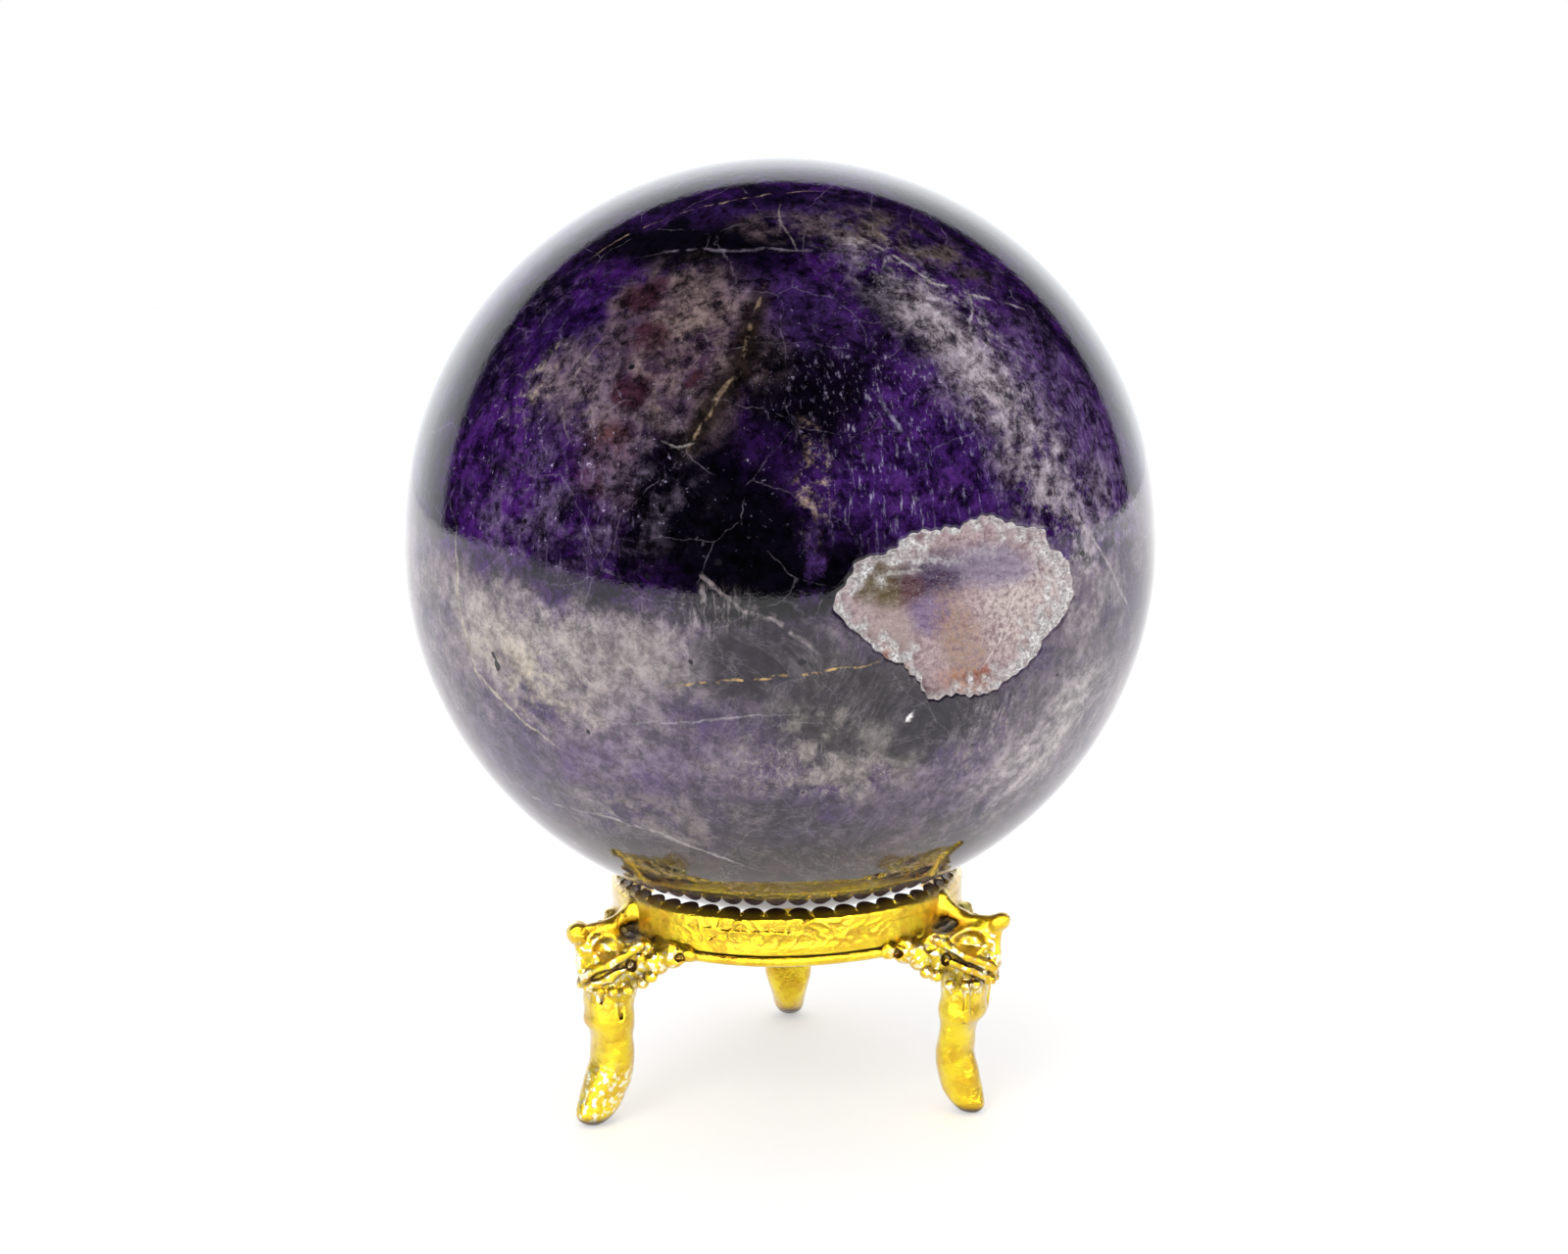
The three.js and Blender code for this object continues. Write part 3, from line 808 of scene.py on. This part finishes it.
def amethyst():
    g = Stone("polished_amethyst")
    place = g.object_place((0, 0, BALL_Z), BALL_RADIUS)

    def warped(scale, amount, detail):
        push = g.vector("SUBTRACT", g.noise(place, scale, detail, 0.6, output=1), (0.5, 0.5, 0.5))
        return g.vector("MULTIPLY", push, (amount,) * 3)

    broad, ragged = warped(2.2, 0.15, 2), warped(9, 0.15, 8)
    g.rough_place = g.vector("ADD", g.vector("ADD", place, broad), ragged)
    g.crooked_place = g.vector("ADD", place, warped(8, 0.05, 9))

    # shared grains
    cloud = g.fit(g.noise(place, 5.5, 9, 0.74, 0.5), 0.38, 0.62)
    mist = g.fit(g.noise(place, 2.6, 9, 0.76, 0.8), 0.4, 0.6)
    mottle = g.fit(g.noise(place, 10, 8, 0.7, 0.2), 0.42, 0.6)
    dust = g.fit(g.noise(place, 34, 6, 0.75), 0.47, 0.66)
    wisp_value = g.noise(place, 4.2, 9, 0.74, 1.2)
    wisp = g.fit(g.math("ABSOLUTE", g.math("SUBTRACT", wisp_value, 0.5)), 0.03, 0.0)
    fleck = g.fit(g.noise(place, 70, 3, 0.65), 0.64, 0.72)
    slant = g.mapped(place, rotation=(0, math.radians(38), 0), scale=(80, 80, 13))
    needle = g.fit(g.noise(slant, 1.0, 4, 0.7), 0.55, 0.72)
    upright = g.mapped(place, rotation=(0, math.radians(-32), 0), scale=(60, 60, 16))
    feather = g.fit(g.noise(upright, 1.0, 7, 0.75, 0.6), 0.45, 0.64)
    frost = g.times(dust, g.fit(g.noise(place, 3.1, 6, 0.7), 0.42, 0.62))

    black, deep = (0.0014, 0.001, 0.003), (0.006, 0.002, 0.017)
    violet, lilac = (0.028, 0.005, 0.072), (0.16, 0.12, 0.19)
    patchy = g.fit(g.noise(place, 3.6, 10, 0.7, 0.7), 0.44, 0.57)
    g.color = g.mix(patchy, deep, violet)
    g.color = g.mix(g.times(frost, 0.5), g.color, (0.09, 0.06, 0.13))

    # the dark upper part: saturated violet and brownish cloud, with near-black patches on the front that are a
    # painted dark reflection
    g.zone(-38, 14, 0.34, 0.24, 0, violet, 0.6, mottle)
    g.zone(-38, 14, 0.3, 0.22, 0, (0.052, 0.012, 0.12), 0.7, cloud)
    g.zone(-30, 32, 0.2, 0.17, 30, (0.018, 0.004, 0.055), 0.88)
    g.zone(18, 17, 0.32, 0.26, -30, (0.03, 0.008, 0.08), 0.85)
    g.zone(20, 18, 0.28, 0.2, -30, (0.055, 0.016, 0.12), 0.7, mottle)
    g.zone(0, 57, 0.42, 0.09, -3, (0.022, 0.008, 0.055), 0.8)
    g.zone(44, 24, 0.16, 0.3, 40, (0.06, 0.028, 0.11), 0.8)
    # painted dark reflection: near-black patches high on the front
    g.zone(-18, 53, 0.32, 0.09, 6, black, 0.98)
    g.zone(3, 29, 0.17, 0.22, 12, black, 0.96)
    g.zone(14, 33, 0.14, 0.1, 30, (0.006, 0.002, 0.014), 0.8, mottle)
    g.zone(3, 39, 0.16, 0.1, -10, (0.04, 0.016, 0.09), 0.85, cloud)
    # painted dark reflection: near-black patches across the middle of the front
    g.zone(-11, 9, 0.27, 0.2, -25, black, 0.98)
    g.zone(-3, 0, 0.2, 0.17, -40, black, 0.98)
    g.zone(3, 2, 0.18, 0.12, 0, black, 0.95)
    g.zone(9, 8, 0.1, 0.07, 0, (0.02, 0.006, 0.05), 0.7, cloud)
    g.zone(-14, 34, 0.17, 0.22, 12, (0.17, 0.125, 0.12), 0.9, cloud)
    g.zone(-23, 37, 0.1, 0.11, 20, (0.14, 0.1, 0.1), 0.8, mottle)
    g.zone(-24, 24, 0.2, 0.09, -18, (0.2, 0.16, 0.175), 0.9, mottle)
    g.zone(-24, 18, 0.1, 0.07, 0, (0.02, 0.006, 0.04), 0.8, cloud)
    g.zone(-31, 27, 0.12, 0.12, 0, (0.15, 0.11, 0.13), 0.7, cloud)
    g.zone(-17, 31, 0.16, 0.2, 0, (0.022, 0.007, 0.03), 0.85, mottle)
    g.zone(-38, 26, 0.05, 0.11, -20, (0.3, 0.26, 0.18), 0.6, dust)
    g.zone(-26, 17, 0.08, 0.11, 10, (0.07, 0.028, 0.03), 0.9, cloud)
    for azimuth, elevation, size in ((-23.6, 41, 0.055), (-21, 35, 0.045), (-22.5, 28, 0.05), (-14, 29, 0.035)):
        g.zone(azimuth, elevation, size, 0.8 * size, 20, (0.028, 0.007, 0.014), 0.85)
    g.zone(27, 51, 0.22, 0.09, -28, (0.085, 0.065, 0.055), 0.9, mottle)
    g.zone(6, 56, 0.14, 0.06, -20, (0.07, 0.05, 0.06), 0.8, mottle)
    g.zone(4, 14, 0.04, 0.12, 8, (0.24, 0.18, 0.14), 0.95, dust)
    g.zone(4.5, 3, 0.03, 0.1, -8, (0.07, 0.03, 0.15), 0.6, mottle)
    g.zone(-30, 10, 0.3, 0.13, 10, (0.15, 0.12, 0.18), 0.45, mottle)
    g.zone(20, 20, 0.26, 0.26, 0, (0.36, 0.33, 0.48), 0.7, needle)
    g.zone(8, 28, 0.2, 0.14, 0, (0.15, 0.12, 0.2), 0.45, needle)
    g.zone(-34, 12, 0.26, 0.2, 0, (0.24, 0.19, 0.34), 0.35, needle)
    g.streak([(20, 46), (27, 35), (33, 25)], 0.07, (0.24, 0.21, 0.24), 0.95, cloud, 0.8)
    g.streak([(32, 27), (40, 12), (44, -2)], 0.1, (0.26, 0.225, 0.26), 0.95, mottle, 0.8)
    g.streak([(24, 45), (36, 27), (45, 4)], 0.1, (0.36, 0.33, 0.38), 0.75, dust, 0.8)
    g.zone(50, 14, 0.14, 0.34, 10, (0.15, 0.11, 0.22), 0.8, feather)
    g.zone(52, 4, 0.16, 0.16, 0, (0.25, 0.21, 0.28), 0.85, mottle)
    g.zone(0, 25, 0.5, 0.3, 0, (0.3, 0.27, 0.4), 0.4, fleck)
    g.zone(-36, 14, 0.3, 0.2, 0, (0.42, 0.36, 0.55), 0.8, fleck)

    # the milky lower part
    parts = g.node("SeparateXYZ", {0: g.rough_place}).outputs
    bend = g.times(g.times(parts["X"], parts["X"]), 0.18)
    below = g.fit(g.math("SUBTRACT", parts["Z"], bend), -0.05, -0.13)
    low_color = g.mix(patchy, (0.042, 0.022, 0.085), (0.155, 0.115, 0.165))
    low_color = g.mix(g.times(mottle, 0.5), low_color, (0.24, 0.21, 0.205))
    low_color = g.mix(g.times(mist, 0.5), low_color, (0.035, 0.018, 0.06))
    g.color = g.mix(below, g.color, low_color)
    g.zone(-36, -8, 0.36, 0.13, -6, (0.34, 0.305, 0.29), 0.9, cloud)
    g.zone(-30, -16, 0.3, 0.12, -20, (0.33, 0.29, 0.28), 0.7, patchy)
    g.zone(-40, -5, 0.26, 0.07, -4, (0.36, 0.33, 0.33), 0.7, mottle)
    g.zone(-38, -13, 0.2, 0.1, -30, (0.43, 0.375, 0.31), 0.9, mottle)
    g.zone(-14, -6, 0.16, 0.07, 20, (0.24, 0.215, 0.23), 0.85, feather)
    g.zone(-20, -23, 0.27, 0.14, 0, lilac, 0.7, mist)
    g.zone(-28, -30, 0.22, 0.12, -20, (0.085, 0.05, 0.14), 0.75, cloud)
    g.zone(28, -30, 0.24, 0.14, 20, (0.1, 0.07, 0.14), 0.75, cloud)
    g.zone(-5, -9, 0.16, 0.075, 8, (0.012, 0.006, 0.016), 0.93)
    g.zone(-50, -30, 0.16, 0.22, 0, (0.06, 0.04, 0.095), 0.8)
    g.zone(9, -17, 0.24, 0.16, 0, (0.022, 0.018, 0.02), 0.9)
    g.zone(8, -23, 0.24, 0.13, 0, (0.2, 0.18, 0.165), 0.8, mottle)
    g.zone(4, -27, 0.24, 0.09, 0, (0.28, 0.25, 0.24), 0.75, feather)
    g.zone(-12, -33, 0.2, 0.1, 0, (0.05, 0.03, 0.075), 0.7, cloud)
    dark_spots = ((7, -15, 0.05), (12, -17, 0.045), (9, -22, 0.04), (3, -20, 0.035), (16, -23, 0.05))
    for azimuth, elevation, size in dark_spots:
        g.zone(azimuth, elevation, size, 0.75 * size, 30, (0.026, 0.02, 0.026), 0.85)
    g.zone(23, -19, 0.16, 0.09, 10, (0.016, 0.012, 0.024), 0.92)
    g.zone(-48, -20, 0.1, 0.2, -20, (0.04, 0.022, 0.075), 0.8, mist)
    g.zone(-16, -19, 0.13, 0.08, 10, (0.05, 0.03, 0.08), 0.8, cloud)
    g.zone(3, -36, 0.2, 0.08, 0, (0.03, 0.018, 0.05), 0.85, mottle)
    g.zone(45, -20, 0.22, 0.18, 40, (0.12, 0.1, 0.12), 0.7, mist)
    g.zone(45, -27, 0.14, 0.26, -40, (0.46, 0.42, 0.42), 0.85, cloud)
    g.zone(32, -24, 0.14, 0.12, 0, (0.26, 0.23, 0.24), 0.7, feather)
    g.zone(0, -38, 0.45, 0.13, 0, (0.045, 0.036, 0.05), 0.75, mist)
    g.zone(-25, -36, 0.25, 0.07, -8, (0.2, 0.175, 0.17), 0.7, mottle)
    g.zone(47, -3, 0.14, 0.12, 0, (0.3, 0.265, 0.29), 0.85, mottle)
    # the sides and back that face away
    g.zone(95, 18, 0.3, 0.2, 30, black, 0.95)
    g.zone(118, 34, 0.34, 0.1, -35, (0.26, 0.22, 0.25), 0.9, cloud)
    g.zone(165, 12, 0.32, 0.24, 10, black, 0.95)
    g.zone(-150, 30, 0.3, 0.14, 40, (0.2, 0.155, 0.15), 0.9, cloud)
    g.zone(-110, 22, 0.28, 0.2, -20, (0.012, 0.003, 0.035), 0.9)
    g.zone(-92, -18, 0.3, 0.16, 15, (0.33, 0.29, 0.28), 0.85, cloud)
    g.zone(140, -22, 0.3, 0.16, -20, (0.022, 0.016, 0.026), 0.9)
    g.zone(-165, -24, 0.3, 0.13, 12, (0.3, 0.265, 0.27), 0.85, mottle)
    # painted dark reflection: the underside just above the ring is made dark brown, where the stand is mirrored
    g.zone(0, -54, 0.6, 0.22, 0, (0.03, 0.02, 0.016), 0.85)

    # healed cracks, their stains and fine scratches
    dotted = g.fit(g.noise(place, 34, 3), 0.44, 0.56)
    broken = g.fit(g.noise(place, 13, 4), 0.4, 0.52)
    brown_crack = [(-2.4, 41.4), (-4.0, 35.0), (-5.9, 29.2), (-10.5, 22.5), (-12.5, 19.1)]
    g.streak(brown_crack, 0.03, (0.012, 0.008, 0.007), 0.85)
    g.streak(brown_crack, 0.0045, (0.19, 0.14, 0.095), 0.75, dotted)
    g.streak([(-12.5, 19.1), (-14.5, 18.7), (-16, 19.4)], 0.0035, (0.34, 0.31, 0.31), 0.6)
    g.streak([(-16, -13), (-6, -12.2), (3, -11.3), (11, -10.4)], 0.0032, (0.5, 0.33, 0.12), 0.95, dotted)
    g.streak([(-29, -19), (-14, -18.2), (-1, -17.2)], 0.0028, (0.28, 0.26, 0.3), 0.6)
    g.streak([(-51.7, 3.6), (-51.5, -6), (-50, -14), (-45.6, -17.7), (-38, -23)], 0.0045, (0.46, 0.41, 0.31), 0.65)
    g.streak([(22, 50), (30, 43), (37, 40.4), (46.5, 38.3)], 0.0045, (0.4, 0.37, 0.38), 0.85, broken)
    g.streak([(37, 40.4), (35.5, 37), (33.4, 34)], 0.0035, (0.38, 0.35, 0.38), 0.7)
    g.streak([(-24, 49.5), (-8, 49.6), (5, 49.2), (21, 48.4)], 0.0045, (0.13, 0.11, 0.15), 0.7, broken)
    g.streak([(5, 49), (4, 52), (1, 55), (2, 60)], 0.0028, (0.22, 0.2, 0.19), 0.5, broken)
    g.streak([(-40, 50), (-31, 56), (-20, 60), (8, 64)], 0.0035, (0.34, 0.25, 0.2), 0.7, broken)
    g.streak([(14.5, 24.8), (17.4, 20.6)], 0.005, (0.26, 0.23, 0.36), 0.7, broken)
    g.streak([(-11, 2.2), (-5, -2.5), (0, -4.2), (4, -8)], 0.0045, (0.22, 0.19, 0.2), 0.7, broken)
    g.streak([(-54, -35), (-36, -36), (-24, -38.5), (-15, -43), (-8, -47)], 0.0045, (0.3, 0.28, 0.28), 0.7, broken)
    g.streak([(-30, 33), (-34, 25), (-31, 20)], 0.003, (0.25, 0.21, 0.19), 0.4, broken)
    g.streak([(44, 8), (52, 0), (60, -8)], 0.004, (0.36, 0.33, 0.34), 0.6)
    g.streak([(88, 44), (100, 33), (104, 20), (116, 8)], 0.0045, (0.38, 0.35, 0.36), 0.8, broken)
    g.streak([(150, 40), (168, 30), (-176, 33)], 0.004, (0.2, 0.14, 0.08), 0.8, dotted)
    g.streak([(-130, 12), (-118, 0), (-112, -16), (-98, -26)], 0.0045, (0.42, 0.38, 0.33), 0.65, broken)
    g.zone(17.5, -19.3, 0.009, 0.006, 60, (0.8, 0.78, 0.8), 1.0, soft=0.8)
    g.color = g.mix(g.times(g.times(wisp, below), 0.12), g.color, (0.36, 0.34, 0.36))
    shard_place = g.vector("ADD", place, warped(6, 0.08, 6))
    shards = g.node("TexVoronoi", {"Vector": shard_place, "Scale": 5.2}, feature="DISTANCE_TO_EDGE")
    veins = g.times(g.fit(shards.outputs["Distance"], 0.012, 0.0), g.times(broken, 0.2))
    g.color = g.mix(veins, g.color, (0.26, 0.23, 0.29))
    speckle = g.fit(g.noise(place, 24, 10, 0.82, 0.25), 0.38, 0.62)
    contrast = g.math("SUBTRACT", 1.0, g.times(below, 0.45))
    g.color = g.mix(contrast, g.color, g.mix(speckle, (0.12, 0.1, 0.14), (2.0, 1.95, 1.9)), blend="MULTIPLY")
    pits = g.fit(g.noise(place, 21, 1, 0.5), 0.235, 0.215)
    g.color = g.mix(pits, g.color, (0.01, 0.008, 0.012))

    g.set(Base_Color=g.color, Roughness=g.fit(g.noise(place, 14, 4), 0.3, 0.8, 0.03, 0.075), IOR=1.5)
    scuffs = g.node("Bump", {"Strength": 0.035, "Distance": 0.0003, "Height": g.noise(place, 55, 4)})
    g.set(Normal=scuffs.outputs[0])
    return g.material


def quartz():
    g = Stone("quartz_points")
    centre = np.array([0, 0, BALL_Z]) + POCKET_OUT * BALL_RADIUS
    place = g.object_place((0, 0, BALL_Z), BALL_RADIUS)
    near = g.object_place(centre, 1.0)
    push = g.vector("SUBTRACT", g.noise(place, 26, 5, 0.6, output=1), (0.5, 0.5, 0.5))
    g.rough_place = g.vector("ADD", place, g.vector("MULTIPLY", push, (0.055,) * 3))
    g.crooked_place = g.vector("ADD", place, g.vector("MULTIPLY", push, (0.01,) * 3))
    fine = g.fit(g.noise(near, 2.2, 6, 0.7), 0.34, 0.66)
    specks = g.fit(g.noise(near, 5.5, 3, 0.6), 0.56, 0.7)
    g.color = g.mix(fine, (0.28, 0.18, 0.2), (0.56, 0.43, 0.44))
    g.zone(14.4, 0, 0.08, 0.055, -10, (0.13, 0.09, 0.035), 0.95)
    g.zone(21.6, 0.9, 0.085, 0.055, 0, (0.05, 0.02, 0.08), 0.95)
    g.zone(18.2, -1.0, 0.032, 0.045, 0, (0.11, 0.035, 0.045), 0.8)
    g.zone(20.8, -4.6, 0.06, 0.045, 10, (0.2, 0.13, 0.26), 0.85)
    g.zone(26, -9, 0.055, 0.13, 24, (0.36, 0.21, 0.13), 0.9, fine)
    g.zone(27, -14.6, 0.07, 0.025, -10, (0.5, 0.2, 0.07), 0.8, fine)
    g.zone(28.5, 1.8, 0.05, 0.03, 0, (0.25, 0.2, 0.1), 0.7)
    g.zone(15, -7, 0.06, 0.06, 0, (0.42, 0.32, 0.3), 0.7)
    g.zone(37, -4, 0.12, 0.13, 0, (0.76, 0.66, 0.62), 0.8, fine)
    g.zone(31, 1.5, 0.12, 0.05, -8, (0.26, 0.2, 0.32), 0.8)
    for azimuth, elevation, size in ((14.5, -9, 0.02), (28.5, -15, 0.024), (17, -12, 0.014), (30.5, -13.5, 0.012)):
        g.zone(azimuth, elevation, size, size, 0, (0.32, 0.07, 0.025), 0.85)
    g.streak([(35.7, -2), (33, -7.5), (30.3, -12.5)], 0.0025, (0.8, 0.68, 0.66), 0.7)
    g.streak([(42.4, -5.9), (40, -8.3), (37.5, -11)], 0.0025, (0.75, 0.7, 0.68), 0.6)
    sugar = g.node("Attribute", attribute_name="sugar").outputs["Fac"]
    # painted shade: the frost goes grey in a noise pattern, for the shaded gaps between the quartz points
    shaded_gaps = g.fit(g.noise(near, 3.6, 6, 0.75), 0.4, 0.6)
    frost = g.mix(shaded_gaps, (0.33, 0.3, 0.31), (0.96, 0.95, 0.94))
    frost = g.mix(g.times(specks, 0.25), frost, (0.3, 0.22, 0.24))
    g.color = g.mix(g.times(sugar, 0.93), g.color, frost)
    g.color = g.mix(g.times(specks, 0.22), g.color, (0.95, 0.93, 0.95))
    g.set(Base_Color=g.color, Roughness=g.fit(g.noise(near, 3.1, 4), 0.3, 0.7, 0.16, 0.6), IOR=1.55)
    cells = g.node("TexVoronoi", {"Vector": near, "Scale": 5.0}).outputs["Distance"]
    facets = g.node("Bump", {"Strength": 0.5, "Distance": 0.00012, "Height": cells})
    g.set(Normal=facets.outputs[0])
    return g.material


def gilding():
    g = Graph("bright_gilding")
    place = g.object_place((0, 0, 0), 1.0)
    worn = g.fit(g.noise(place, 0.5, 7, 0.68, 0.6), 0.38, 0.62)
    # painted shade: hollows and creases found by ambient occlusion are darkened in the colour
    hollow = g.node("AmbientOcclusion", {"Distance": 0.0017}, samples=6).outputs["AO"]
    shade = g.fit(hollow, 0.36, 0.92)
    # painted shade: faces turned away from the view are darkened towards brown
    painted_edge_shade = g.fit(g.node("LayerWeight", {"Blend": 0.5}).outputs["Facing"], 0.45, 1.0)
    bright = g.mix(worn, (0.76, 0.46, 0.004), (0.95, 0.74, 0.012))
    bright = g.mix(g.times(painted_edge_shade, 0.8), bright, (0.5, 0.29, 0.01))
    # painted glints: pale spots on the knee leaves and on the front left toe
    parts = g.node("SeparateXYZ", {0: place}).outputs
    out = g.vector("LENGTH", g.mapped(place, scale=(1, 1, 0)))
    knees = g.times(g.fit(parts["Z"], 11.4, 12.6), g.fit(parts["Z"], 18.8, 17.2))
    knees = g.times(knees, g.fit(out, 17.2, 17.8))
    toe = g.times(g.fit(parts["Z"], 6.5, 4.5), g.fit(parts["X"], -12.0, -14.0))
    spots = g.fit(g.noise(place, 1.9, 2, 0.5), 0.54, 0.58)
    painted_glints = g.times(g.math("MAXIMUM", knees, toe), spots)
    bright = g.mix(painted_glints, bright, (1.0, 0.95, 0.68))
    # painted shade laid into the colour: deep brown where the hollows are
    color = g.mix(shade, (0.07, 0.022, 0.002), bright)
    g.set(Base_Color=color, Metallic=1.0, Coat_Weight=0.7, Coat_Roughness=0.04)
    g.set(Roughness=g.fit(g.noise(place, 1.7, 5, 0.65), 0.3, 0.72, 0.06, 0.15))
    height = g.math("ADD", g.noise(place, 1.5, 5, 0.65), g.times(g.noise(place, 5.5, 3, 0.6), 0.3))
    cast = g.node("Bump", {"Strength": 0.8, "Distance": 0.00022, "Height": height})
    g.set(Normal=cast.outputs[0], Coat_Normal=cast.outputs[0])
    return g.material


# ---- Camera, floor and light ----
CAMERA_DISTANCE = 6.38 * BALL_RADIUS
CAMERA_ELEVATION = math.radians(7.15)
CAMERA_ROLL = math.radians(1.15)
STAND_MIDDLE = (0, 0, 12)
# radiance of the white wall that the ball mirrors, and of the tent round everything
REAR_WALL = 1.9
TENT = 0.75


def make_camera():
    back, up = math.cos(CAMERA_ELEVATION), math.sin(CAMERA_ELEVATION)
    place = Vector((0, -CAMERA_DISTANCE * back, BALL_Z + CAMERA_DISTANCE * up))
    aim = Vector((0.2, 0, BALL_Z - 8.65))
    data = bpy.data.cameras.new("camera")
    data.sensor_width = 36.0
    data.lens = 54.7
    data.clip_start = 0.01
    data.clip_end = 20.0
    camera = bpy.data.objects.new("camera", data)
    look = (aim - place).to_track_quat("-Z", "Y").to_matrix().to_4x4()
    camera.matrix_world = Matrix.Translation(place * MM) @ look @ Matrix.Rotation(-CAMERA_ROLL, 4, "Z")
    bpy.context.scene.collection.objects.link(camera)
    bpy.context.scene.camera = camera


def make_floor():
    g = Graph("floor")
    place = g.object_place((0, 0, 0), 100.0)
    g.set(Base_Color=g.mix(g.noise(place, 1.0), (0.89, 0.89, 0.89), (0.92, 0.92, 0.92)))
    g.set(Roughness=0.7, Specular_IOR_Level=0.1)
    corners = [(-3000, -335, 0), (3000, -335, 0), (3000, 3000, 0), (-3000, 3000, 0)]
    floor = make_object("floor", corners, [[0, 1, 2, 3]], g.material)
    return floor


def make_world():
    """A light tent: flat white all round, but reflections see a white wall at the back and dark elsewhere."""
    world = bpy.data.worlds.new("world")
    bpy.context.scene.world = world
    g = Graph("world", world)
    ray = g.node("TexCoord").outputs["Generated"]
    spread = g.vector("LENGTH", g.mapped(ray, "TEXTURE", (-0.045, 0, 0), scale=(0.83, 100, 0.69)))
    wall = g.fit(spread, 1.015, 0.985, kind="LINEAR")
    lit = g.times(wall, g.fit(spread, 1.0, 0.7, 0.5, 1.0, "LINEAR"))
    behind = g.math("GREATER_THAN", g.node("SeparateXYZ", {0: ray}).outputs["Y"], 0.0)
    reflected = g.mix(g.times(lit, behind), (0.012, 0.012, 0.014), REAR_WALL * np.array((0.97, 1.0, 1.02)))
    path = g.node("LightPath").outputs
    seen = g.mix(path["Is Glossy Ray"], (TENT, TENT, TENT), reflected)
    g.set(Color=g.mix(path["Is Camera Ray"], seen, (1, 1, 1)))


def make_lamp(name, place, aim, size, radiance, receivers, glossy=True):
    """A rectangular lamp of a stated radiance, which lights its receivers only, or everything if that is None."""
    data = bpy.data.lights.new(name, "AREA")
    data.shape = "RECTANGLE"
    data.size, data.size_y = size[0] * MM, size[1] * MM
    data.energy = radiance * math.pi * data.size * data.size_y
    lamp = bpy.data.objects.new(name, data)
    place, aim = Vector(place) * MM, Vector(aim) * MM
    lamp.matrix_world = Matrix.Translation(place) @ (aim - place).to_track_quat("-Z", "Y").to_matrix().to_4x4()
    lamp.visible_camera = False
    lamp.visible_glossy = glossy
    bpy.context.scene.collection.objects.link(lamp)
    if receivers is not None:
        lamp.light_linking.receiver_collection = receivers


def make_sun(receivers):
    """An even wash over the floor alone, which nothing shades, so that the floor is as pale as the backdrop."""
    data = bpy.data.lights.new("floor_wash", "SUN")
    data.energy = 1.35
    data.angle = math.radians(30)
    lamp = bpy.data.objects.new("floor_wash", data)
    bpy.context.scene.collection.objects.link(lamp)
    lamp.light_linking.receiver_collection = receivers
    lamp.light_linking.blocker_collection = receivers


def group_of(name, objects):
    group = bpy.data.collections.new(name)
    for item in objects:
        group.objects.link(item)
    return group


def make_lights(gilded, floor_only):
    make_sun(floor_only)
    make_lamp("far_floor_wash", (0, 1650, 200), (0, 1650, 0), (4000, 2700), 1.25, floor_only, glossy=False)
    make_lamp("ball_key", (-250, -500, 420), (0, 0, 50), (350, 350), 2.4, None, glossy=False)
    for name, place, size, radiance in (
        ("left_front_card", (-178, -380, 160), (250, 70), 0.68),
        ("right_front_card", (190, -374, 160), (220, 70), 0.68),
        ("left_card", (-410, -90, 90), (220, 90), 0.7),
        ("right_card", (410, -90, 90), (220, 90), 0.7),
        ("left_spark", (-160, -260, 120), (34, 150), 52.0),
        ("right_spark", (150, -240, 170), (70, 70), 70.0),
        ("top_spark", (40, -150, 320), (55, 55), 45.0),
    ):
        make_lamp(name, place, STAND_MIDDLE, size, radiance, gilded)


make_camera()
gold = gilding()
make_ball(amethyst())
make_crust(quartz())
make_ring(gold)
for number, place in enumerate(LEG_AZIMUTHS):
    make_leg(place, 100 * (number + 1), gold)
floor = make_floor()
make_world()
stand = [o for o in bpy.data.objects if o.type == "MESH" and o.active_material == gold]
make_lights(group_of("gilded", stand), group_of("floor_only", [floor]))
bpy.context.scene.view_settings.view_transform = "Standard"
